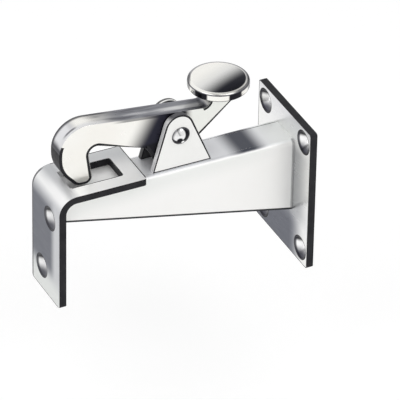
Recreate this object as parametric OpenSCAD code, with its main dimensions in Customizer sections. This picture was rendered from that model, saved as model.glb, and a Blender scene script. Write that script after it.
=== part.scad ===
// Foot-operated door holder: an arm on a wall plate carries a hooked foot lever,
// and the hook drops into the slot of an angle keeper that belongs to the door.
// The origin is the centre of the wall plate's back face, +X points away from the
// wall and +Z up. All sizes are in millimetres.

/* [Overall] */
// Distance from the wall to the keeper's outer face
projection = 142; // [130:1:180]

/* [Wall plate] */
// Height of the wall plate
plate_h = 85; // [80:1:110]
// Width of the wall plate
plate_w = 60; // [52:1:90]
// Thickness of the wall plate
plate_t = 4; // [3.5:0.5:6]
// Radius of the wall plate's corners
plate_corner_r = 1.5; // [0.5:0.5:6]
// Distance of the screw holes from the plate's top and bottom edges
plate_hole_inset_z = 9; // [8:0.5:14]
// Distance of the screw holes from the plate's side edges
plate_hole_inset_y = 8; // [7.5:0.5:12]

/* [Screw holes] */
// Diameter of a screw hole
screw_d = 6.5; // [5.5:0.5:8]
// Diameter of a countersink where it meets the face
sink_d = 13; // [11:0.5:14]

/* [Arm] */
// Distance from the plate's top edge down to the arm's top face
arm_drop = 14; // [10:1:20]
// Depth of the arm where it meets the wall plate
arm_h_wall = 44; // [34:1:54]
// Depth of the arm at its nose
arm_h_nose = 14; // [12:1:24]
// Thickness of the arm's sheet
arm_t = 2.5; // [2:0.5:4]
// Inside radius of the arm's two long folds
arm_fold_r = 0.5; // [0.5:0.5:1.5]
// Width of the arm's top beside each ear, the fold included
arm_ledge = 2.5; // [2:0.5:6]
// Radius of the arm's nose in side view
arm_nose_r = 7; // [6.5:0.5:11]
// Gap between the arm's nose and the keeper's upright leg
nose_gap = 0.5; // [0.5:0.1:1.5]

/* [Ears] */
// Thickness of an ear
ear_t = 3.2; // [2.4:0.2:5]
// Foot of an ear ahead of the pivot
ear_front = 16; // [14:1:22]
// Foot of an ear behind the pivot
ear_back = 18; // [14:1:24]
// Radius of an ear's rounded top
ear_top_r = 8.2; // [7.4:0.2:10]
// Height of the centre of an ear's rounded top over the pivot
ear_top_rise = 4.6; // [3:0.2:6]
// Shift of the centre of an ear's rounded top ahead of the pivot
ear_top_lead = 0.8; // [0:0.2:2]

/* [Pivot] */
// Height of the pivot over the arm's top face
pivot_h = 19.5; // [18:0.5:23]
// Diameter of the rivet's shank
rivet_d = 8; // [6:0.5:9]
// Diameter of a rivet head
rivet_head_d = 10.5; // [10:0.5:12]
// Height of a domed rivet head
rivet_head_h = 2.6; // [2:0.2:3.4]
// Gap round the rivet's shank
rivet_gap = 0.05; // [0.02:0.01:0.1]
// Gap between the lever and each ear
lever_gap = 0.4; // [0.3:0.1:0.8]

/* [Hook lever] */
// Thickness of the lever
lever_w = 10.5; // [8:0.5:14]
// Distance from the pivot to the front of the hook
hook_reach = 67.6; // [60:0.4:74]
// Distance of the hook's front behind the keeper's outer face
hook_setback = 5.4; // [4:0.2:10]
// Height of the lever's top edge over the pivot
back_h = 12.5; // [11:0.5:15]
// Slope of the lever's top edge, rising towards the hook
back_slope = 6.5; // [4:0.5:9]
// Radius of the shoulder over the hook
shoulder_r = 15.5; // [10:0.5:18]
// Width of the hook at its throat
hook_w = 15.8; // [13:0.2:18]
// Height of the throat over the pivot
throat_h = 6.2; // [3:0.2:8]
// Radius of the throat
throat_r = 4.5; // [3:0.5:7]
// Depth of the slanted ramp behind the hook's front
ramp_l = 10; // [9:0.2:13]
// Height of the upper end of the ramp over the arm's top face
ramp_h = 13; // [12:0.5:18]
// Radius between the hook's front and the ramp
ramp_r = 18; // [8:1:20]
// Length of the hook's tip along the arm
tip_l = 9; // [7:0.2:9.6]
// Radius of the tip's front corner
tip_front_r = 5; // [2:0.5:5]
// Radius of the tip's inner corner
tip_back_r = 3.6; // [1:0.2:4]
// Height of the tip over the arm's top face when the hook is down
tip_h = 2; // [1:0.2:3]
// Distance from the pivot to where the lever's underside turns down to its stop toe
belly_front = 18; // [16:0.5:22]
// Depth of that turn below the pivot
belly_front_h = 5; // [3:0.5:6]
// Radius of that turn
belly_front_r = 3; // [1:0.5:5]
// Distance from the pivot to the front of the stop toe
toe_front = 10; // [8.5:0.5:12]
// Length of the stop toe, which stands on the arm when the hook is down
toe_l = 6; // [4:0.5:7]
// Radius of the stop toe's two corners
toe_r = 1.5; // [0.5:0.5:1.5]
// Gap between the stop toe and the arm's top face
toe_gap = 0.3; // [0.2:0.1:0.5]
// Distance from the pivot back to the lever's rear lower corner
heel_back = 7.5; // [6:0.5:9]
// Depth of that corner below the pivot
heel_h = 9.5; // [8.5:0.5:11]
// Radius of that corner
heel_r = 6; // [2:0.5:7]

/* [Foot pad] */
// Diameter of the foot pad
pad_d = 32.8; // [26:0.4:40]
// Thickness of the foot pad
pad_t = 5.7; // [5:0.1:8]
// Radius of the foot pad's rim
pad_rim_r = 1.4; // [1:0.2:2.4]
// Rise of the foot pad's domed top
pad_crown = 0.8; // [0.4:0.2:1.6]
// Distance from the pivot back to the foot pad's centre
pad_back = 25.6; // [22:0.4:32]
// Height of the foot pad's top over the pivot
pad_h = 24.4; // [21:0.4:28]
// Length of the neck's front end ahead of the foot pad's centre
neck_front = 7.1; // [4:0.1:10]
// Distance from the foot pad's rear edge to the rear end of the neck under it
neck_inset = 2.6; // [1.8:0.2:4]
// Radius between the lever's top edge and the neck
neck_r = 4; // [1:0.5:5]

/* [Keeper] */
// Thickness of the keeper
keeper_t = 4; // [3.5:0.5:5]
// Inside radius of the keeper's bend
keeper_bend_r = 6; // [4:0.5:6]
// Depth of the keeper from its top face to its lower end
keeper_drop = 68; // [60:1:90]
// Radius of the keeper's corners
keeper_corner_r = 1.5; // [0.5:0.5:4]
// Length of the slot
slot_l = 30; // [22:1:36]
// Gap between the hook and each side of the slot
slot_gap = 3.2; // [2:0.2:6]
// Radius of the slot's corners
slot_corner_r = 1; // [0.5:0.5:3]
// Distance from the keeper's outer face to the slot
slot_front_rim = 10; // [10:0.5:12]
// Width of the keeper behind the slot
slot_back_rim = 10; // [6:0.5:16]
// Width of the keeper on each side of the slot
slot_side_rim = 8.5; // [6:0.5:14]
// Height of the lower screw hole over the keeper's lower end
keeper_hole_h = 14; // [9:0.5:20]
// Height of the upper screw hole over the lower one
keeper_hole_pitch = 36; // [24:1:37]
// Sideways distance of each keeper screw hole from the middle
keeper_hole_shift = 5; // [0:0.5:8]

/* [Hidden] */
$fn = 64;

// Overshoot of a cut past the faces that it opens
over = 1;
// Widest turn between two points of a rounded corner
arc_step = 6;
sink_depth = (sink_d - screw_d) / 2;

arm_top = plate_h / 2 - arm_drop;
arm_end = projection - keeper_t - nose_gap;
pivot_x = projection - hook_setback - hook_reach;
pivot_z = arm_top + pivot_h;

ear_inner = lever_w / 2 + lever_gap;
ear_outer = ear_inner + ear_t;
arm_w = 2 * (ear_outer + arm_ledge);

slot_w = lever_w + 2 * slot_gap;
keeper_w = slot_w + 2 * slot_side_rim;
keeper_l = slot_front_rim + slot_l + slot_back_rim;
keeper_top = arm_top + keeper_t;
keeper_low = keeper_top - keeper_drop;

pad_r = pad_d / 2;
pad_under = pad_h - pad_t;

// Point at a share of the way round a rounded corner's arc
function turned(p, angle) = [p.x * cos(angle) - p.y * sin(angle), p.x * sin(angle) + p.y * cos(angle)];

// Corner at b between its neighbours a and c, rounded to radius r
function corner(a, b, c, r) =
    r == 0 ? [b] :
    let (
        to_a = (a - b) / norm(a - b),
        to_c = (c - b) / norm(c - b),
        half = acos(to_a * to_c) / 2,
        centre = b + (to_a + to_c) / norm(to_a + to_c) * r / sin(half),
        start = b + to_a * r / tan(half) - centre,
        sweep = (180 - 2 * half) * sign(cross(to_c, to_a)),
        steps = ceil(abs(sweep) / arc_step)
    )
    [for (i = [0 : steps]) centre + turned(start, sweep * i / steps)];

// Outline through points [x, z, r], each corner rounded to its own r
function outline(points) = [
    for (i = [0 : len(points) - 1])
        let (
            n = len(points),
            before = points[(i + n - 1) % n],
            at = points[i],
            after = points[(i + 1) % n]
        )
        each corner([before.x, before.y], [at.x, at.y], [after.x, after.y], at.z)
];

// Direction from c in which a tangent from p touches the circle of radius r round c
function tangent_angle(p, c, r, side) =
    let (away = p - c)
    atan2(away.y, away.x) + side * acos(r / norm(away));

// Side view in X and Z, given thickness w about the middle plane
module from_side(w) {
    rotate([90, 0, 0]) linear_extrude(w, center = true) children();
}

// End view in Y and Z, drawn out along X
module along_arm(l) {
    rotate([90, 0, 90]) linear_extrude(l) children();
}

module rounded_rect(w, h, r) {
    square([w - 2 * r, h], center = true);
    square([w, h - 2 * r], center = true);
    for (x = [-1, 1], y = [-1, 1]) {
        translate([x * (w / 2 - r), y * (h / 2 - r)]) circle(r);
    }
}

// Cut for a countersunk screw, through a plate from z = 0 to its face at z = t
module screw_cut(t) {
    translate([0, 0, -over]) cylinder(h = t + 2 * over, d = screw_d);
    translate([0, 0, t - sink_depth]) cylinder(h = sink_depth, d1 = screw_d, d2 = sink_d);
    translate([0, 0, t]) cylinder(h = over, d = sink_d);
}

module wall_plate() {
    hole_y = plate_w / 2 - plate_hole_inset_y;
    hole_z = plate_h / 2 - plate_hole_inset_z;
    color("gainsboro")
    difference() {
        along_arm(plate_t) rounded_rect(plate_w, plate_h, plate_corner_r);
        for (y = [-hole_y, hole_y], z = [-hole_z, hole_z]) {
            translate([0, y, z]) rotate([0, 90, 0]) screw_cut(plate_t);
        }
    }
}

// Side view of the arm's outside, or of its hollow when inset by the sheet
module arm_side(inset, below) {
    nose_r = arm_nose_r - inset;
    polygon(outline([
        [plate_t, arm_top - inset, 0],
        [arm_end - inset, arm_top - inset, nose_r],
        [arm_end - inset, arm_top - arm_h_nose - below, 0],
        [plate_t, arm_top - arm_h_wall - below, 0]
    ]));
}

// End view of a folded channel of width w, with its top face at z = arm_top - inset
module arm_end_view(w, inset, fold) {
    top = arm_top - inset;
    deep = arm_h_wall + over;
    translate([-w / 2, top - deep]) square([w, deep - fold]);
    translate([-w / 2 + fold, top - fold]) square([w - 2 * fold, fold]);
    for (y = [-1, 1]) {
        translate([y * (w / 2 - fold), top - fold]) circle(fold);
    }
}

module arm() {
    inner_w = arm_w - 2 * arm_t;
    color("gainsboro")
    difference() {
        intersection() {
            from_side(arm_w) arm_side(0, 0);
            along_arm(projection) arm_end_view(arm_w, 0, arm_fold_r + arm_t);
        }
        intersection() {
            translate([-over, 0, 0]) from_side(inner_w) arm_side(arm_t, arm_h_wall);
            along_arm(projection) arm_end_view(inner_w, arm_t, arm_fold_r);
        }
    }
}

module ear_side() {
    front = [ear_front, -pivot_h];
    back = [-ear_back, -pivot_h];
    crown = [ear_top_lead, ear_top_rise];
    from = tangent_angle(front, crown, ear_top_r, 1);
    sweep = tangent_angle(back, crown, ear_top_r, -1) + 360 - from;
    steps = ceil(sweep / arc_step);
    top = [for (i = [0 : steps]) crown + turned([ear_top_r, 0], from + sweep * i / steps)];
    difference() {
        polygon(concat([front], top, [back]));
        circle(d = rivet_d + 2 * rivet_gap);
    }
}

// Ear whose outer face looks to +Y for side 1 and to -Y for side -1
module ear(side) {
    color("whitesmoke")
    translate([pivot_x, side * (ear_inner + ear_outer) / 2, pivot_z]) from_side(ear_t) ear_side();
}

// Half section of the rivet from its middle plane to the top of one head
module rivet_half() {
    dome_r = (pow(rivet_head_d / 2, 2) + pow(rivet_head_h, 2)) / (2 * rivet_head_h);
    square([rivet_d / 2, ear_outer]);
    intersection() {
        translate([0, ear_outer + rivet_head_h - dome_r]) circle(dome_r, $fn = 128);
        translate([0, ear_outer]) square([rivet_head_d / 2, rivet_head_h]);
    }
}

module pivot_rivet() {
    color("silver")
    translate([pivot_x, 0, pivot_z]) rotate([90, 0, 0])
    rotate_extrude() {
        rivet_half();
        mirror([0, 1]) rivet_half();
    }
}

// Side view of the lever from the neck under the foot pad to the hook, pivot at the origin
module lever_side() {
    tip_z = tip_h - pivot_h;
    toe_z = toe_gap - pivot_h;
    throat_x = hook_reach - hook_w;
    tip_front = hook_reach - ramp_l;
    neck_x = neck_front - pad_back;
    neck_top = pad_under + pad_rim_r;
    back_z = [for (x = [neck_x, hook_reach]) back_h + x * tan(back_slope)];
    polygon(outline([
        [-pad_back - pad_r + neck_inset, pad_under, 0],
        [-pad_back - pad_r + neck_inset, neck_top, 0],
        [neck_x, neck_top, 0],
        [neck_x, back_z[0], neck_r],
        [hook_reach, back_z[1], shoulder_r],
        [hook_reach, ramp_h - pivot_h, ramp_r],
        [tip_front, tip_z, tip_front_r],
        [tip_front - tip_l, tip_z, tip_back_r],
        [throat_x, throat_h, throat_r],
        [belly_front, -belly_front_h, belly_front_r],
        [toe_front, toe_z, toe_r],
        [toe_front - toe_l, toe_z, toe_r],
        [-heel_back, -heel_h, heel_r]
    ]));
}

// Half section of the foot pad from its axis to its rim
module pad_half() {
    flat_r = pad_r - pad_rim_r;
    dome_r = (pow(flat_r, 2) + pow(pad_crown, 2)) / (2 * pad_crown);
    square([flat_r, pad_t - pad_crown]);
    translate([0, pad_rim_r]) square([pad_r, pad_t - pad_crown - 2 * pad_rim_r]);
    for (z = [pad_rim_r, pad_t - pad_crown - pad_rim_r]) {
        translate([flat_r, z]) circle(pad_rim_r);
    }
    intersection() {
        translate([0, pad_t - dome_r]) circle(dome_r, $fn = 256);
        square([flat_r, pad_t]);
    }
}

module foot_pad() {
    rotate_extrude() pad_half();
}

module hook_lever() {
    color("linen")
    translate([pivot_x, 0, pivot_z])
    difference() {
        union() {
            from_side(lever_w) lever_side();
            translate([-pad_back, 0, pad_under]) foot_pad();
        }
        rotate([90, 0, 0]) cylinder(h = lever_w + 2 * over, d = rivet_d + 2 * rivet_gap, center = true);
    }
}

// Side view of the keeper's bent strip
module keeper_side() {
    outer_r = keeper_bend_r + keeper_t;
    translate([projection - keeper_l, arm_top]) square([keeper_l - outer_r, keeper_t]);
    translate([projection - keeper_t, keeper_low]) square([keeper_t, keeper_drop - outer_r]);
    translate([projection - outer_r, keeper_top - outer_r])
    intersection() {
        difference() {
            circle(outer_r);
            circle(keeper_bend_r);
        }
        square(outer_r);
    }
}

module keeper() {
    // The rounded ends run on past the bend, so only the two free ends have rounded corners
    top_l = keeper_l + keeper_corner_r;
    leg_l = keeper_drop + keeper_corner_r;
    slot_x = projection - slot_front_rim - slot_l / 2;
    hole_z = keeper_low + keeper_hole_h;
    color("lightgray")
    difference() {
        intersection() {
            from_side(keeper_w) keeper_side();
            translate([projection - keeper_l + top_l / 2, 0, keeper_low])
                linear_extrude(keeper_drop) rounded_rect(top_l, keeper_w, keeper_corner_r);
            translate([projection - keeper_l, 0, keeper_low + leg_l / 2])
                along_arm(keeper_l) rounded_rect(keeper_w, leg_l, keeper_corner_r);
        }
        translate([slot_x, 0, arm_top - over])
            linear_extrude(keeper_t + 2 * over) rounded_rect(slot_l, slot_w, slot_corner_r);
        for (i = [0, 1]) {
            translate([projection - keeper_t, (2 * i - 1) * keeper_hole_shift, hole_z + i * keeper_hole_pitch])
                rotate([0, 90, 0]) screw_cut(keeper_t);
        }
    }
}

wall_plate();
arm();
ear(1);  // ear_near
ear(-1);  // ear_far
pivot_rivet();
hook_lever();
keeper();
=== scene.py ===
import math
import bpy
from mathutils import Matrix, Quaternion, Vector


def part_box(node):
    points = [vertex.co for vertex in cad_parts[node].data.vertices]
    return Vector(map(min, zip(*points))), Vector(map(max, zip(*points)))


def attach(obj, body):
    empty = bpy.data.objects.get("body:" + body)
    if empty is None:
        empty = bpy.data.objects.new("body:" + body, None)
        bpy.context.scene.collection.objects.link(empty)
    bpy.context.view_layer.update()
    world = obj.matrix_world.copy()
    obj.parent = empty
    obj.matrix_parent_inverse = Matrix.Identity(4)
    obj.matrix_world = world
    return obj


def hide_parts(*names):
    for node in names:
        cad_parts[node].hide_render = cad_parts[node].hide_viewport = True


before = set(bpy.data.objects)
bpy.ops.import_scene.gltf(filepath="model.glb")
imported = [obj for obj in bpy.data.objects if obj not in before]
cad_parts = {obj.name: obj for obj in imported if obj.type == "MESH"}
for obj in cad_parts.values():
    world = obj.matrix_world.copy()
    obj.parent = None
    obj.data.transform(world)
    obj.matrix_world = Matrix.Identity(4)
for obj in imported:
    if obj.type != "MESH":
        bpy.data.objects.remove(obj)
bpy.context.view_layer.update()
mm = 0.001
print("frame loaded")

# Directions on the part: front is away from the wall, near is the side that the camera sees
front, rear, near, far, up, down = (1, 0, 0), (-1, 0, 0), (0, 1, 0), (0, -1, 0), (0, 0, 1), (0, 0, -1)

# How much of a normal lies along an axis: more than this on a flat face, less on a tilted one
straight, tilted = 0.999, 0.97


def deselectAll():
    if bpy.context.object and bpy.context.object.mode != "OBJECT":
        bpy.ops.object.mode_set(mode="OBJECT")
    bpy.ops.object.select_all(action="DESELECT")


def makeActive(piece):
    deselectAll()
    piece.select_set(True)
    bpy.context.view_layer.objects.active = piece


def applyModifier(piece, kind, **settings):
    makeActive(piece)
    modifier = piece.modifiers.new(kind.lower(), kind)
    for name, value in settings.items():
        setattr(modifier, name, value)
    bpy.ops.object.modifier_apply(modifier=modifier.name)


# A painted dark outline, standing in for the shade along an edge: its own faces just inside the edges of the
# flat faces that a test picks out
def edgeLine(piece, width, onFace, alongEdge):
    makeActive(piece)
    for face in piece.data.polygons:
        face.select = onFace(face.center, face.normal)
    for part in (*piece.data.edges, *piece.data.vertices):
        part.select = False
    bpy.ops.object.mode_set(mode="EDIT")
    bpy.ops.mesh.select_mode(type="FACE")
    bpy.ops.mesh.inset(thickness=width * mm, depth=0, use_boundary=True, use_even_offset=False,
                       use_select_inset=True)
    bpy.ops.object.mode_set(mode="OBJECT")
    for face in piece.data.polygons:
        if face.select and alongEdge(face.center):
            face.material_index = 1


shaping = dict(mergeGap=0.002 * mm, flatAngle=math.radians(0.3), smoothAngle=math.radians(35), sharpWeight=80)


# A piece that starts as the node's own shape and gets broken edges, as the real one has.
# Its second finish, where given, is the one along those edges.
def roundedCopy(nodeName, pieceName, look, finish, edgeFinish=None, lines=()):
    piece = bpy.data.objects.new(pieceName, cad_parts[nodeName].data.copy())
    piece.data.name = pieceName
    bpy.context.scene.collection.objects.link(piece)
    piece.data.materials.clear()
    for kind in (finish, edgeFinish or paintedEdgeShade):
        piece.data.materials.append(kind)
    makeActive(piece)
    bpy.ops.object.mode_set(mode="EDIT")
    bpy.ops.mesh.select_all(action="SELECT")
    bpy.ops.mesh.remove_doubles(threshold=shaping["mergeGap"])
    bpy.ops.mesh.dissolve_limited(angle_limit=shaping["flatAngle"])
    bpy.ops.mesh.customdata_custom_splitnormals_clear()
    bpy.ops.object.mode_set(mode="OBJECT")
    for face in piece.data.polygons:
        face.material_index = 0
    applyModifier(piece, "BEVEL", width=look["edge"] * mm, segments=look["edgeSteps"], limit_method="ANGLE",
                  angle_limit=math.radians(look["edgeAngle"]), use_clamp_overlap=True,
                  material=1 if edgeFinish else -1)
    for width, onFace, alongEdge in lines:
        edgeLine(piece, width, onFace, alongEdge)
    makeActive(piece)
    bpy.ops.object.shade_smooth_by_angle(angle=shaping["smoothAngle"])
    applyModifier(piece, "WEIGHTED_NORMAL", keep_sharp=True, weight=shaping["sharpWeight"])
    return piece


# Faces that a test picks out get another finish
def finishFaces(piece, finish, test):
    if finish.name not in piece.data.materials:
        piece.data.materials.append(finish)
    slot = piece.data.materials.find(finish.name)
    for face in piece.data.polygons:
        if test(face.center, face.normal):
            face.material_index = slot


# What way the surface looks: red to the front, green to a side, blue up
def markFacing(piece):
    mesh = piece.data
    marks = mesh.attributes.new("facing", "FLOAT_COLOR", "CORNER")
    for corner, normal in enumerate(mesh.corner_normals):
        x, y, z = normal.vector
        marks.data[corner].color = (max(0, x), abs(y), max(0, z), 1)


# Red marks the walls of the screw holes, green says how high on the hole a point is,
# and blue how far out
def markSinks(piece, centres, radius):
    mesh = piece.data
    marks = mesh.attributes.new("sink", "FLOAT_COLOR", "CORNER")
    for face in mesh.polygons:
        inHole = None
        for y, z in centres:
            apart = math.hypot(face.center.y - y * mm, face.center.z - z * mm)
            if apart < radius * mm and face.normal.x < tilted:
                inHole = (y, z)
        for corner in face.loop_indices:
            if inHole is None:
                marks.data[corner].color = (0, 0, 0, 1)
                continue
            at = mesh.vertices[mesh.loops[corner].vertex_index].co / mm
            out = math.hypot(at.y - inHole[0], at.z - inHole[1])
            marks.data[corner].color = (1, 0.5 + 0.5 * (at.z - inHole[1]) / radius, out / radius, 1)


sinkRim = dict(width=0.5, leastTilt=0.995, mostTilt=0.74)


# The thin painted dark outline where a countersink meets its face
def markSinkRims(piece, centres, radius):
    def onRim(at, normal):
        return sinkRim["mostTilt"] < normal.x < sinkRim["leastTilt"] and any(
            abs(math.hypot(at.y - y * mm, at.z - z * mm) - radius * mm) < sinkRim["width"] * mm
            for y, z in centres)

    finishFaces(piece, paintedEdgeShade, onRim)


# Whether a point is on the outline of a rectangle with rounded corners
def onOutline(across, along, halfWidth, halfLength, corner=1.5, rim=0.4):
    x = max(0, abs(across) - halfWidth + corner * mm)
    y = max(0, abs(along) - halfLength + corner * mm)
    return math.hypot(x, y) > (corner - rim) * mm


def setOn(piece, nodeName, bodyName):
    markFacing(piece)
    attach(piece, bodyName)
    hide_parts(nodeName)


def newMaterial(name):
    material = bpy.data.materials.new(name)
    material.use_nodes = True
    tree = material.node_tree
    return material, tree, tree.nodes["Principled BSDF"]


def noise(tree, coords, scale, detail=3.0, stretch=(1, 1, 1)):
    mapping = tree.nodes.new("ShaderNodeMapping")
    mapping.inputs["Scale"].default_value = stretch
    texture = tree.nodes.new("ShaderNodeTexNoise")
    texture.inputs["Scale"].default_value = scale
    texture.inputs["Detail"].default_value = detail
    tree.links.new(coords, mapping.inputs["Vector"])
    tree.links.new(mapping.outputs["Vector"], texture.inputs["Vector"])
    return texture.outputs["Fac"]


def mapRange(tree, value, low, high, toLow=0.0, toHigh=1.0, smooth=False):
    node = tree.nodes.new("ShaderNodeMapRange")
    node.interpolation_type = "SMOOTHSTEP" if smooth else "LINEAR"
    for name, number in (("From Min", low), ("From Max", high), ("To Min", toLow), ("To Max", toHigh)):
        node.inputs[name].default_value = number
    tree.links.new(value, node.inputs["Value"])
    return node.outputs["Result"]


def vectorMath(tree, operation, vector, other):
    node = tree.nodes.new("ShaderNodeVectorMath")
    node.operation = operation
    node.inputs[1].default_value = other
    tree.links.new(vector, node.inputs[0])
    return node.outputs


def dot(tree, vector, direction):
    return vectorMath(tree, "DOT_PRODUCT", vector, direction)["Value"]


# The distance from a centre in millimetres, in the plane of the axes that are kept
def distanceFrom(tree, coords, centre, kept):
    flat = vectorMath(tree, "MULTIPLY", coords, kept)["Vector"]
    return vectorMath(tree, "DISTANCE", flat, [part * mm for part in centre])["Value"]


def channel(tree, attribute, name):
    node = tree.nodes.new("ShaderNodeAttribute")
    node.attribute_name = attribute
    split = tree.nodes.new("ShaderNodeSeparateColor")
    tree.links.new(node.outputs["Color"], split.inputs["Color"])
    return split.outputs[name]


def calculate(tree, operation, a, b):
    node = tree.nodes.new("ShaderNodeMath")
    node.operation = operation
    for socket, value in zip(node.inputs, (a, b)):
        if isinstance(value, (int, float)):
            socket.default_value = value
        else:
            tree.links.new(value, socket)
    return node.outputs["Value"]


def mixColours(tree, factor, a, b):
    node = tree.nodes.new("ShaderNodeMix")
    node.data_type = "RGBA"
    tree.links.new(factor, node.inputs["Factor"])
    for socket, value in ((node.inputs[6], a), (node.inputs[7], b)):
        if isinstance(value, tuple):
            socket.default_value = (*value, 1)
        else:
            tree.links.new(value, socket)
    return node.outputs[2]


def bump(tree, height, strength, distance, under=None):
    node = tree.nodes.new("ShaderNodeBump")
    node.inputs["Strength"].default_value = strength
    node.inputs["Distance"].default_value = distance
    tree.links.new(height, node.inputs["Height"])
    if under is not None:
        tree.links.new(under, node.inputs["Normal"])
    return node.outputs["Normal"]


# The foot pad's centre, and directions across it as the camera sees them
padAt = (43.4, 0, 0)
toRight, toBack = (-0.894, 0.449, 0), (-0.449, -0.894, 0)
toLeft = tuple(-part for part in toRight)

facingChannels = dict(front="Red", side="Green", top="Blue")
streakNoise = dict(scale=260, stretch=(0.04, 1, 1))


# A fade across the foot pad, counted from its centre
def padFade(direction, start, end):
    middle = sum(a * b for a, b in zip(padAt, direction))
    return direction, middle + start, middle + end


# How much of a zone there is at a point. It is the product of fades along directions, what way
# the surface looks, distances from spots seen from the side and from the pad's centre seen from
# above, streaks, and the height (sink) and distance (ring) on a screw hole.
def zoneMask(tree, coords, zone):
    measures = [(dot(tree, coords, direction), start * mm, end * mm)
                for direction, start, end in zone.get("fades", ())]
    measures += [(channel(tree, "facing", facingChannels[way]), low, high)
                 for way, low, high in zone.get("facing", ())]
    measures += [(distanceFrom(tree, coords, (x, 0, z), (1, 0, 1)), start * mm, end * mm)
                 for x, z, start, end in zone.get("spots", ())]
    measures += [(distanceFrom(tree, coords, padAt, (1, 1, 0)), start * mm, end * mm)
                 for start, end in zone.get("fromPad", ())]
    measures += [(noise(tree, coords, **streakNoise), low, high) for low, high in zone.get("streaks", ())]
    measures += [(channel(tree, "sink", "Green"), low, high) for low, high in zone.get("sink", ())]
    measures += [(channel(tree, "sink", "Blue"), low, high) for low, high in zone.get("ring", ())]
    parts = [mapRange(tree, value, low, high, smooth=True) for value, low, high in measures]
    if "sink" in zone:
        parts.append(channel(tree, "sink", "Red"))
    mask = zone.get("strength", 1.0)
    for part in parts:
        mask = calculate(tree, "MULTIPLY", mask, part)
    return mask


# The middle part of each noise that is used, and how deep the bumps are
plating = dict(clouds=(0.35, 0.65), grain=(0.3, 0.7), waveDepth=1 * mm, grainDepth=0.05 * mm)


# Zinc-plated or polished steel: cloudy tint, fine grinding lines, slight waves, zones of painted
# shade, highlight and reflection, and zones where it is more polished
def platedSteel(name, look):
    material, tree, shader = newMaterial(name)
    coords = tree.nodes.new("ShaderNodeTexCoord").outputs["Object"]
    cloud = mapRange(tree, noise(tree, coords, look["cloudScale"], detail=4), *plating["clouds"])
    colour = mixColours(tree, cloud, look["colour"], look["cloudColour"])
    for zone in look.get("zones", ()):
        colour = mixColours(tree, zoneMask(tree, coords, zone), colour, zone["colour"])
    tree.links.new(colour, shader.inputs["Base Color"])
    shader.inputs["Metallic"].default_value = look["metallic"]
    shader.inputs["Specular IOR Level"].default_value = look.get("specular", 0.5)
    grain = noise(tree, coords, look["grainScale"], detail=5, stretch=look["grainStretch"])
    rough = mapRange(tree, grain, *plating["grain"], *look["roughness"])
    for zone in look.get("polished", ()):
        mask = zoneMask(tree, coords, zone)
        plain = calculate(tree, "MULTIPLY", rough, calculate(tree, "SUBTRACT", 1.0, mask))
        rough = calculate(tree, "ADD", plain, calculate(tree, "MULTIPLY", mask, zone["roughness"]))
    tree.links.new(rough, shader.inputs["Roughness"])
    wave = noise(tree, coords, look["waveScale"], detail=1)
    waved = bump(tree, wave, look["waveStrength"], plating["waveDepth"])
    fine = bump(tree, grain, look["grainStrength"], plating["grainDepth"], waved)
    tree.links.new(fine, shader.inputs["Normal"])
    return material


cream = (0.90, 0.88, 0.83)
paleZinc = (0.88, 0.88, 0.88)
white = (0.97, 0.97, 0.97)
blueGrey = (0.10, 0.107, 0.135)
coal = (0.10, 0.10, 0.12)
ink = (0.06, 0.06, 0.07)
nearBlack = (0.012, 0.012, 0.016)

# Painted shade and highlight in a screw hole: dark at the top, bright across its middle, dark again at
# the bottom and round the rim
paintedSinkShade = [
    dict(colour=white, sink=[(-0.1, 0.0)]),
    dict(colour=nearBlack, sink=[(0.50, 0.72)]),
    dict(colour=coal, sink=[(0.40, 0.10)]),
    dict(colour=(0.03, 0.03, 0.04), strength=0.9, sink=[(-0.1, 0.0)], ring=[(0.83, 0.92)]),
]

# The sheared edges and the thin dark outlines, painted near black as shade along the edges, pale only in the
# slot's corner by the bend
paintedEdgeShade = platedSteel("edgeShadePaint", dict(
    colour=(0.007, 0.007, 0.010), cloudColour=(0.016, 0.016, 0.019), cloudScale=160, metallic=0.0,
    grainScale=1500, grainStretch=(1, 1, 0.2), grainStrength=0.5, roughness=(0.4, 0.6),
    waveScale=80, waveStrength=0.1, specular=0.2,
    zones=[dict(colour=(0.80, 0.81, 0.82), strength=0.95,
                fades=[(front, 127.5, 128.5), (far, 5.2, 5.8), (near, -12, -11), (up, 20, 25)])]))
print("finishes ready")


# The countersunk holes, which open to the front
def finishSinks(piece, look):
    markSinkRims(piece, look["holes"], look["sinkRadius"])
    markSinks(piece, look["holes"], look["sinkRadius"])


# In the dictionaries of the pieces, lengths are in millimetres and tilts are parts of a normal
plateFace = [("front", 0.5, 0.9)]
wallPlate = dict(
    edge=0.4, edgeSteps=3, edgeAngle=40, line=0.4,
    holes=[(y, z) for y in (-22, 22) for z in (-33.5, 33.5)], sinkRadius=6.5,
    colour=paleZinc, cloudColour=(0.92, 0.92, 0.90), cloudScale=38, metallic=0.9,
    grainScale=900, grainStretch=(1, 0.12, 1), grainStrength=0.14, roughness=(0.26, 0.36),
    waveScale=22, waveStrength=0.1,
    zones=[
        # Painted shade: soft at the top, two darker steps downward that fade to the near edge, and a shadow
        # strip beside the arm
        dict(colour=(0.62, 0.62, 0.66), strength=0.5, facing=plateFace, fades=[(up, 26, 44)]),
        dict(colour=(0.56, 0.57, 0.60), facing=plateFace, fades=[(down, -16, 6), (far, -27, -8)]),
        dict(colour=blueGrey, facing=plateFace, fades=[(down, 2, 26), (far, -27, -8)]),
        dict(colour=(0.42, 0.43, 0.44), facing=plateFace,
             fades=[(near, 8.5, 10), (far, -34, -14), (up, -22, -12), (down, -32, -22)]),
    ] + paintedSinkShade)


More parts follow.
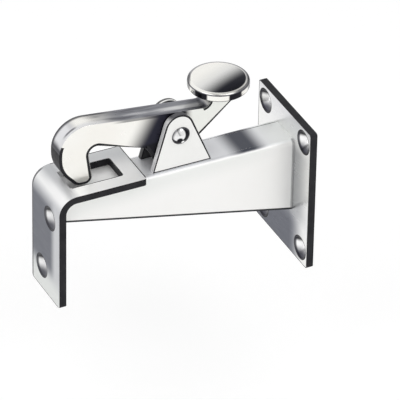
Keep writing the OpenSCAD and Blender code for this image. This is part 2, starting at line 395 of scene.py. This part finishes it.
def makeWallPlate():
    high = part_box("wall_plate")[1]

    def onFront(at, normal):
        return normal.x > straight

    def onShearedEdge(at, normal):
        return abs(normal.x) < tilted and onOutline(at.y, at.z, high.y, high.z)

    # A painted dark outline round the front and round the holes, and the sheared edges painted dark as shade
    piece = roundedCopy("wall_plate", "wallPlate", wallPlate, platedSteel("platedWallPlate", wallPlate),
                        lines=[(wallPlate["line"], onFront, lambda at: True)])
    finishFaces(piece, paintedEdgeShade, onShearedEdge)
    finishSinks(piece, wallPlate)
    setOn(piece, "wall_plate", "holder")


sheetTop = [("top", 0.6, 0.95)]
armCorner = [("side", 0.2, 0.4)]
armShell = dict(
    edge=0.35, edgeSteps=3, edgeAngle=40, line=0.6, topAbove=28, farEdge=-7,
    rimTilt=0.5, rimOutside=8.6, rimBelow=16,
    colour=(0.99, 0.985, 0.965), cloudColour=(1.0, 0.995, 0.98), cloudScale=30, metallic=0.25,
    grainScale=900, grainStretch=(0.1, 1, 1), grainStrength=0.12, roughness=(0.28, 0.38),
    waveScale=16, waveStrength=0.1,
    zones=[
        # Painted shade on the upper part of the side
        dict(colour=(0.76, 0.80, 0.77), strength=0.35, facing=[("side", 0.6, 0.95)],
             fades=[((0.06, 0, 1), 18, 30), (front, 5, 30)]),
        # The top in painted shade, with painted highlights at both ends and a painted dark reflection band
        # before the plate
        dict(colour=(0.80, 0.81, 0.84), strength=0.9, facing=sheetTop),
        dict(colour=(0.98, 0.98, 0.97), strength=0.9, facing=sheetTop, fades=[(front, 84, 94)]),
        dict(colour=(0.95, 0.97, 0.95), strength=0.9, facing=sheetTop, fades=[(rear, -25, -10)]),
        dict(colour=(0.05, 0.055, 0.075), facing=sheetTop, fades=[(front, 17, 27), (rear, -43, -32)]),
        # A painted dark outline along the lower edge, and painted shade where the side meets the plate
        dict(colour=nearBlack, facing=armCorner, fades=[((0.2193, 0, -0.9757), 14.7, 15.1)]),
        dict(colour=(0.10, 0.10, 0.11), strength=0.55, facing=armCorner, fades=[(rear, -5.1, -4.6)]),
    ])


def makeArm():
    def onTop(at, normal):
        return normal.z > straight and at.z > armShell["topAbove"] * mm

    def alongFarEdge(at):
        return at.y < armShell["farEdge"] * mm

    def onLowerRim(at, normal):
        return (normal.z < -armShell["rimTilt"] and abs(at.y) > armShell["rimOutside"] * mm
                and at.z < armShell["rimBelow"] * mm)

    # A painted dark outline along the top's far edge, and the lower rim painted dark as shade
    piece = roundedCopy("arm", "armShell", armShell, platedSteel("platedArm", armShell),
                        lines=[(armShell["line"], onTop, alongFarEdge)])
    finishFaces(piece, paintedEdgeShade, onLowerRim)
    setOn(piece, "arm", "holder")


ear = dict(
    edge=0.8, edgeSteps=2, edgeAngle=40, line=0.7, rimTilt=0.6,
    colour=(0.92, 0.92, 0.90), cloudColour=(0.96, 0.96, 0.94), cloudScale=60, metallic=0.25,
    grainScale=1000, grainStretch=(1, 1, 0.15), grainStrength=0.05, roughness=(0.30, 0.38),
    waveScale=30, waveStrength=0.06)
earShades = dict(
    # A painted highlight on the front edge and painted shade on the rounded top
    earNear=[
        dict(colour=(0.97, 0.97, 0.98), facing=[("front", 0.4, 0.8)]),
        dict(colour=(0.07, 0.07, 0.08), facing=[("top", 0.62, 0.9)]),
    ],
    # A painted shadow on its inner side, with painted dark outlines on both edges of its rounded top
    earFar=[
        dict(colour=nearBlack, strength=0.95, fades=[(near, -8.75, -8.45), (down, -57, -50)]),
        dict(colour=nearBlack, strength=0.9, facing=[("top", 0.3, 0.6)], fades=[(far, 7.1, 7.4)]),
        dict(colour=nearBlack, strength=0.9, facing=[("top", 0.3, 0.6)], fades=[(near, -6.5, -6.2)]),
    ])


def makeEars():
    def onSide(at, normal):
        return abs(normal.y) > straight

    def onRim(at, normal):
        return abs(normal.y) < ear["rimTilt"]

    for nodeName, pieceName in (("ear_near", "earNear"), ("ear_far", "earFar")):
        finish = platedSteel("plated" + pieceName, dict(ear, zones=earShades[pieceName]))
        # Painted dark outlines round the sides, while the rims keep their own finish
        piece = roundedCopy(nodeName, pieceName, ear, finish, paintedEdgeShade,
                            [(ear["line"], onSide, lambda at: True)])
        finishFaces(piece, finish, onRim)
        setOn(piece, nodeName, "holder")


rivet = dict(
    edge=0.25, edgeSteps=2, edgeAngle=50,
    colour=(0.80, 0.80, 0.80), cloudColour=(0.86, 0.86, 0.86), cloudScale=90, metallic=1.0,
    grainScale=1200, grainStretch=(1, 1, 1), grainStrength=0.2, roughness=(0.10, 0.18),
    waveScale=60, waveStrength=0.1,
    zones=[
        # Painted reflection on the domed head: a dark crescent, a dark spot and a bright highlight, and
        # painted shade round the rim of the near head
        dict(colour=nearBlack, spots=[(71.0, 49.9, 3.3, 3.9)]),
        dict(colour=nearBlack, spots=[(70.5, 46.6, 1.9, 1.2)]),
        dict(colour=white, spots=[(68.7, 45.2, 1.1, 0.6)]),
        dict(colour=(0.08, 0.08, 0.09), strength=0.85, facing=[("side", 0.80, 0.66)], fades=[(near, 5, 6)]),
    ])


def makeRivet():
    piece = roundedCopy("pivot_rivet", "rivet", rivet, platedSteel("brightRivet", rivet))
    setOn(piece, "pivot_rivet", "holder")


leverTop, leverSide = [("top", 0.8, 0.95)], [("side", 0.5, 0.9)]
padTop, padWall = [("top", 0.93, 0.98)], [("top", 0.5, 0.35)]
fromNeck, toNeck, towardNose = (front, 50, 53), (front, 64, 66), (rear, -124, -108)
underPad, onPad, onPadSide, onPadEdge = (down, -70, -69), (up, 70, 71), (up, 66, 67), (up, 66.4, 66.6)
insidePadRim = (14.5, 14.1)
hookLever = dict(
    edge=0.9, edgeSteps=4, edgeAngle=40, line=1.4, padAbove=66,
    underTilt=0.25, bevelTilt=0.2, nearTilt=0.3, noseFrom=118, noseTilt=0.12, noseBelow=(57, 53),
    neck=(51, 79), throatFrom=80, throatBelow=60,
    colour=cream, cloudColour=(0.93, 0.92, 0.88), cloudScale=34, metallic=0.9,
    grainScale=420, grainStretch=(0.6, 1, 1), grainStrength=0.3, roughness=(0.27, 0.37),
    waveScale=26, waveStrength=0.06,
    polished=[dict(roughness=0.15, fades=[(up, 65.5, 66.5)])],
    # The side's painted dark outline: to the rear of each x it is below a height, with a slope
    # counted from a start
    outline=[(62, 1000, 0, 0), (104, 52, 0.12, 75), (121, 58, 0.33, 121), (1000, 56, 0, 0)],
    zones=[
        # The top in painted shade, with painted dark and light reflection streaks, a painted highlight by the
        # neck and more shade toward the nose
        dict(colour=(0.27, 0.275, 0.30), facing=[("top", 0.4, 0.8)], fades=[fromNeck, (down, -66, -64)]),
        dict(colour=coal, strength=0.75, facing=leverTop, fades=[fromNeck, towardNose, underPad],
             streaks=[(0.50, 0.62)]),
        dict(colour=(0.62, 0.62, 0.64), strength=0.6, facing=leverTop, fades=[fromNeck, towardNose, underPad],
             streaks=[(0.46, 0.36)]),
        dict(colour=(0.86, 0.86, 0.85), strength=0.7, facing=leverTop,
             fades=[(rear, -84, -66), (front, 52, 56), (near, -1.5, 0.5), (far, -3.4, -2.2), underPad]),
        dict(colour=(0.13, 0.13, 0.15), strength=0.3, facing=leverTop,
             fades=[(front, 92, 102), (rear, -121, -113)]),
        # The hook's front: painted highlight on the shoulder, painted shade on the nose, painted highlight on
        # the near edge, a thin painted dark streak, and a painted dark outline on the far edge
        dict(colour=(0.78, 0.78, 0.80), facing=[("front", 0.25, 0.6)], fades=[(front, 116, 124)]),
        dict(colour=(0.02, 0.02, 0.03), strength=0.95, facing=[("front", 0.12, 0.4)],
             fades=[(front, 118, 124), (down, -58, -54)]),
        dict(colour=(0.74, 0.74, 0.75), strength=0.9, facing=[("side", 0.8, 0.5)],
             fades=[(near, 0.6, 4.0), (front, 106, 116), (up, 54, 59)]),
        dict(colour=(0.12, 0.12, 0.14), strength=0.85, facing=[("top", 0.3, 0.5)],
             fades=[(near, 2.0, 2.6), (far, -3.9, -3.3), (front, 125, 128), (rear, -134, -131)]),
        dict(colour=(0.03, 0.03, 0.04), strength=0.9, facing=[("side", 0.98, 0.9)],
             fades=[(far, 2.4, 4.2), (front, 98, 112)]),
        # Painted shade on the neck's side, a thin painted dark line under the top, a painted shadow beside
        # the ears, and painted shade under the lever and the pad
        dict(colour=(0.83, 0.84, 0.80), facing=leverSide, fades=[(rear, -66, -60), (down, -66.2, -65)]),
        dict(colour=(0.10, 0.10, 0.11), strength=0.7, facing=[("side", 0.6, 0.8)],
             fades=[((-0.1132, 0, 0.9936), 50.6, 50.8), (rear, -108, -98), toNeck]),
        dict(colour=(0.02, 0.02, 0.032), facing=leverSide,
             fades=[((-0.85, 0, -0.45), -107, -94), (front, 60, 66)]),
        dict(colour=nearBlack, fades=[(rear, -92, -88), toNeck, (down, -46, -44)]),
        dict(colour=nearBlack, facing=[("front", 0.15, 0.5)],
             fades=[(up, 59, 62), (down, -66.8, -66.6), (rear, -62, -60)]),
        # The pad's top with painted reflection, dark to one side, and painted dark lines on its rim
        dict(colour=(0.56, 0.57, 0.58), strength=0.55, facing=padTop, fromPad=[insidePadRim],
             fades=[onPad, ((-0.4, 0.9165, 0), -28, -15)]),
        dict(colour=(0.012, 0.013, 0.02), facing=padTop, fromPad=[insidePadRim],
             fades=[onPad, ((-0.4, 0.9165, 0), -19.5, -8.3)]),
        dict(colour=(0.25, 0.25, 0.27), strength=0.85, fromPad=[(14.3, 14.8)],
             fades=[onPad, padFade(toBack, -5, 2)]),
        dict(colour=(0.04, 0.04, 0.05), strength=0.85, fromPad=[(15.0, 15.4)],
             fades=[onPad, padFade(toRight, 6, 11)]),
        dict(colour=(0.09, 0.09, 0.11), strength=0.9, facing=[("top", 0.75, 0.62), ("top", 0.1, 0.3)],
             fades=[(up, 69.3, 69.8)]),
        # Two painted dark reflection patches on the pad's side, then painted dark outlines on its lower edge
        # and its ends left and right
        dict(colour=nearBlack, facing=padWall,
             fades=[onPadSide, padFade(toRight, 5.2, 6.2), padFade(toLeft, -12.6, -11.6)]),
        dict(colour=nearBlack, facing=padWall,
             fades=[onPadSide, padFade(toLeft, 5.2, 6.2), padFade(toRight, -12.6, -11.6)]),
        dict(colour=ink, strength=0.9, fades=[onPadEdge, (down, -67.9, -67.4)]),
        dict(colour=ink, strength=0.8, fades=[onPadEdge, padFade(toRight, 14.8, 15.8)]),
        dict(colour=ink, strength=0.85, fades=[onPadEdge, padFade(toLeft, 14.2, 15.4)]),
    ])


def makeLever():
    padAbove = hookLever["padAbove"] * mm

    def onSide(at, normal):
        return abs(normal.y) > straight and at.z < padAbove

    def alongOutline(at):
        for rearOf, height, slope, start in hookLever["outline"]:
            if at.x < rearOf * mm:
                return at.z < height * mm + slope * (at.x - start * mm)

    # Painted shade: the underside, the nose's front and the bevels of the neck and throat get the dark edge
    # finish
    def onDarkEdge(at, normal):
        tilt = hookLever["bevelTilt"]
        onBevel = abs(normal.y) > tilt
        noseBelow = hookLever["noseBelow"][0 if normal.y > hookLever["nearTilt"] else 1]
        underneath = normal.z < -hookLever["underTilt"] and at.z < padAbove
        nose = (at.x > hookLever["noseFrom"] * mm and normal.x > hookLever["noseTilt"]
                and at.z < noseBelow * mm)
        neck = (hookLever["neck"][0] * mm < at.x < hookLever["neck"][1] * mm and at.z < padAbove
                and normal.z > tilt and onBevel)
        throat = (at.x > hookLever["throatFrom"] * mm and at.z < hookLever["throatBelow"] * mm
                  and normal.x < -tilt and onBevel)
        return underneath or nose or neck or throat

    piece = roundedCopy("hook_lever", "hookLever", hookLever, platedSteel("polishedCasting", hookLever),
                        lines=[(hookLever["line"], onSide, alongOutline)])
    finishFaces(piece, paintedEdgeShade, onDarkEdge)
    setOn(piece, "hook_lever", "lever")


keeper = dict(
    edge=0.4, edgeSteps=3, edgeAngle=40, holes=[(5, 14.5), (-5, -21.5)], sinkRadius=6.5,
    topLine=0.5, topAbove=32, topUntil=131, legLine=0.4, legFrom=141, legBelow=21.5, linesInside=15,
    bevelTilt=0.2, rim=0.4, endTilt=0.9, ends=1.5,
    slotTilt=0.4, nearWall=-0.5, thickness=4.1, behindSlot=5, beforeSlot=9, slotInside=9,
    colour=(0.94, 0.94, 0.94), cloudColour=(0.97, 0.97, 0.96), cloudScale=40, metallic=0.25,
    grainScale=900, grainStretch=(1, 0.12, 1), grainStrength=0.12, roughness=(0.34, 0.44),
    waveScale=24, waveStrength=0.08,
    zones=[
        # Painted shade on the far side of the top and on the rounded bend
        dict(colour=(0.52, 0.54, 0.56), strength=0.6, facing=sheetTop, fades=[(far, -2, 12)]),
        dict(colour=(0.40, 0.41, 0.43), strength=0.5, facing=[("top", 0.3, 0.6)],
             fades=[(front, 129, 133), (rear, -138, -135)]),
        # The leg in painted shade, darkest in its middle and pale at its foot
        dict(colour=(0.55, 0.56, 0.58), strength=0.9, facing=[("front", 0.75, 1.0)]),
        dict(colour=blueGrey, facing=[("front", 0.85, 0.99)],
             fades=[(far, -12, -5), (up, -27, -14), (down, -28, -19)]),
        dict(colour=(0.78, 0.80, 0.78), strength=0.9, facing=[("front", 0.7, 0.98)], fades=[(down, 18, 30)]),
        # The painted dark outline along the leg's far edge
        dict(colour=(0.04, 0.04, 0.05), strength=0.85, facing=[("front", 0.3, 0.6)],
             fades=[(far, 15.5, 15.8)]),
    ] + paintedSinkShade)


def makeKeeper():
    low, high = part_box("keeper")
    middle = (low + high) / 2
    inside = keeper["linesInside"] * mm

    def onTop(at, normal):
        return normal.z > straight and at.z > keeper["topAbove"] * mm

    def onLeg(at, normal):
        return normal.x > straight and at.x > keeper["legFrom"] * mm

    def alongTop(at):
        return at.x < keeper["topUntil"] * mm and at.y < inside

    def alongLeg(at):
        return at.z < keeper["legBelow"] * mm and at.y < inside

    # Painted shade on the sheared edges, the ends and the slot's walls; the slot's near wall keeps the
    # plating, because the hook's tip would mirror it dark
    def onShearedEdge(at, normal):
        side = abs(at.y) > high.y - keeper["rim"] * mm and abs(normal.y) > keeper["bevelTilt"]
        rearEnd = (at.x < low.x + keeper["ends"] * mm and abs(normal.z) < keeper["endTilt"]
                   and onOutline(at.y, at.x - middle.x, high.y, middle.x - low.x))
        foot = (at.z < low.z + keeper["ends"] * mm and abs(normal.x) < keeper["endTilt"]
                and onOutline(at.y, at.z - middle.z, high.y, middle.z - low.z))
        slot = (at.z > high.z - keeper["thickness"] * mm
                and abs(normal.z) < keeper["slotTilt"] and normal.y > keeper["nearWall"]
                and low.x + keeper["behindSlot"] * mm < at.x < high.x - keeper["beforeSlot"] * mm
                and abs(at.y) < keeper["slotInside"] * mm)
        return side or rearEnd or foot or slot

    piece = roundedCopy("keeper", "keeperAngle", keeper, platedSteel("platedKeeper", keeper),
                        lines=[(keeper["topLine"], onTop, alongTop), (keeper["legLine"], onLeg, alongLeg)])
    finishFaces(piece, paintedEdgeShade, onShearedEdge)
    finishSinks(piece, keeper)
    setOn(piece, "keeper", "holder")


makeWallPlate()
makeArm()
makeEars()
makeRivet()
makeLever()
makeKeeper()
print("pieces made")


view = dict(azimuth=26.66, elevation=34.55, roll=1.09, distance=2.5, frameWidth=209.56 * mm, sensor=36,
            reach=20, aimAt=(74.375 * mm, 0, 5.3125 * mm), aimRight=19.28 * mm, aimUp=-1.47 * mm)


def makeCamera():
    azimuth, elevation = math.radians(view["azimuth"]), math.radians(view["elevation"])
    back = Vector((math.sin(azimuth) * math.cos(elevation), math.cos(azimuth) * math.cos(elevation),
                   math.sin(elevation)))
    turn = (-back).to_track_quat("-Z", "Y") @ Quaternion((0, 0, 1), math.radians(view["roll"]))
    pictureRight, pictureUp = turn @ Vector((1, 0, 0)), turn @ Vector((0, 1, 0))
    target = Vector(view["aimAt"]) + pictureRight * view["aimRight"] + pictureUp * view["aimUp"]
    data = bpy.data.cameras.new("camera")
    data.sensor_width = view["sensor"]
    data.lens = view["sensor"] * view["distance"] / view["frameWidth"]
    data.clip_end = view["reach"]
    camera = bpy.data.objects.new("camera", data)
    camera.location = target + back * view["distance"]
    camera.rotation_mode = "QUATERNION"
    camera.rotation_quaternion = turn
    bpy.context.scene.collection.objects.link(camera)
    bpy.context.scene.camera = camera


def grey(level):
    return (level, level, level)


# 1 for the camera's rays, which see plain white round the part, and 0 for those that light it
def cameraRays(tree, path):
    return calculate(tree, "MAXIMUM", path["Is Camera Ray"], path["Is Transmission Ray"])


paleFloor = dict(centre=(0.07, 0, -0.12), size=2.4, level=0.80, roughness=0.9, lift=0.27)


def makeFloor():
    deselectAll()
    bpy.ops.mesh.primitive_plane_add(size=paleFloor["size"], location=paleFloor["centre"])
    floor = bpy.context.object
    floor.name = "floor"
    material, tree, shader = newMaterial("paleFloor")
    shader.inputs["Base Color"].default_value = (*grey(paleFloor["level"]), 1)
    shader.inputs["Roughness"].default_value = paleFloor["roughness"]
    path = tree.nodes.new("ShaderNodeLightPath").outputs
    seen = calculate(tree, "MAXIMUM", cameraRays(tree, path), path["Is Glossy Ray"])
    lift = calculate(tree, "MULTIPLY", seen, paleFloor["lift"])
    shader.inputs["Emission Color"].default_value = (1, 1, 1, 1)
    tree.links.new(lift, shader.inputs["Emission Strength"])
    floor.data.materials.append(material)


# What polished steel mirrors: a white backdrop, and a dark gap between its top and the
# soft box overhead, across the given direction. Rays that light the part see plain grey.
studio = dict(
    gapNormal=(-0.75, 0.45, 0.48), light=0.82,
    mirrored=[(-1.0, 0.97), (0.12, 0.97), (0.27, 0.95), (0.34, 0.40), (0.42, 0.38), (0.54, 0.9), (1.0, 1.0)])


def makeWorld():
    world = bpy.data.worlds.new("studio")
    bpy.context.scene.world = world
    world.use_nodes = True
    tree = world.node_tree
    tree.nodes.clear()
    direction = tree.nodes.new("ShaderNodeTexCoord").outputs["Generated"]
    towardGap = dot(tree, direction, Vector(studio["gapNormal"]).normalized())
    ramp = tree.nodes.new("ShaderNodeValToRGB")
    tree.links.new(mapRange(tree, towardGap, -1, 1), ramp.inputs["Fac"])
    stops = ramp.color_ramp.elements
    (_, first), *between, (_, last) = studio["mirrored"]
    stops[0].color, stops[1].color = (*grey(first), 1), (*grey(last), 1)
    for place, level in between:
        stops.new((place + 1) / 2).color = (*grey(level), 1)
    path = tree.nodes.new("ShaderNodeLightPath").outputs
    colour = mixColours(tree, cameraRays(tree, path), grey(studio["light"]), grey(1.0))
    colour = mixColours(tree, path["Is Glossy Ray"], colour, ramp.outputs["Color"])
    background = tree.nodes.new("ShaderNodeBackground")
    tree.links.new(colour, background.inputs["Color"])
    output = tree.nodes.new("ShaderNodeOutputWorld")
    tree.links.new(background.outputs["Background"], output.inputs["Surface"])


lampTarget = (0.07, 0, 0)
lamps = [
    dict(name="softKey", at=(-0.30, 0.75, 0.95), size=0.6, watts=1.5),
    dict(name="softFill", at=(0.75, 0.25, 0.8), size=0.7, watts=1.5),
]


def makeLamps():
    for lamp in lamps:
        data = bpy.data.lights.new(lamp["name"], "AREA")
        data.shape = "SQUARE"
        data.size = lamp["size"]
        data.energy = lamp["watts"]
        light = bpy.data.objects.new(lamp["name"], data)
        light.location = lamp["at"]
        light.rotation_mode = "QUATERNION"
        light.rotation_quaternion = (Vector(lampTarget) - Vector(lamp["at"])).to_track_quat("-Z", "Y")
        bpy.context.scene.collection.objects.link(light)


makeCamera()
makeFloor()
makeWorld()
makeLamps()
bpy.context.scene.view_settings.view_transform = "Standard"
print("camera, floor and light set")
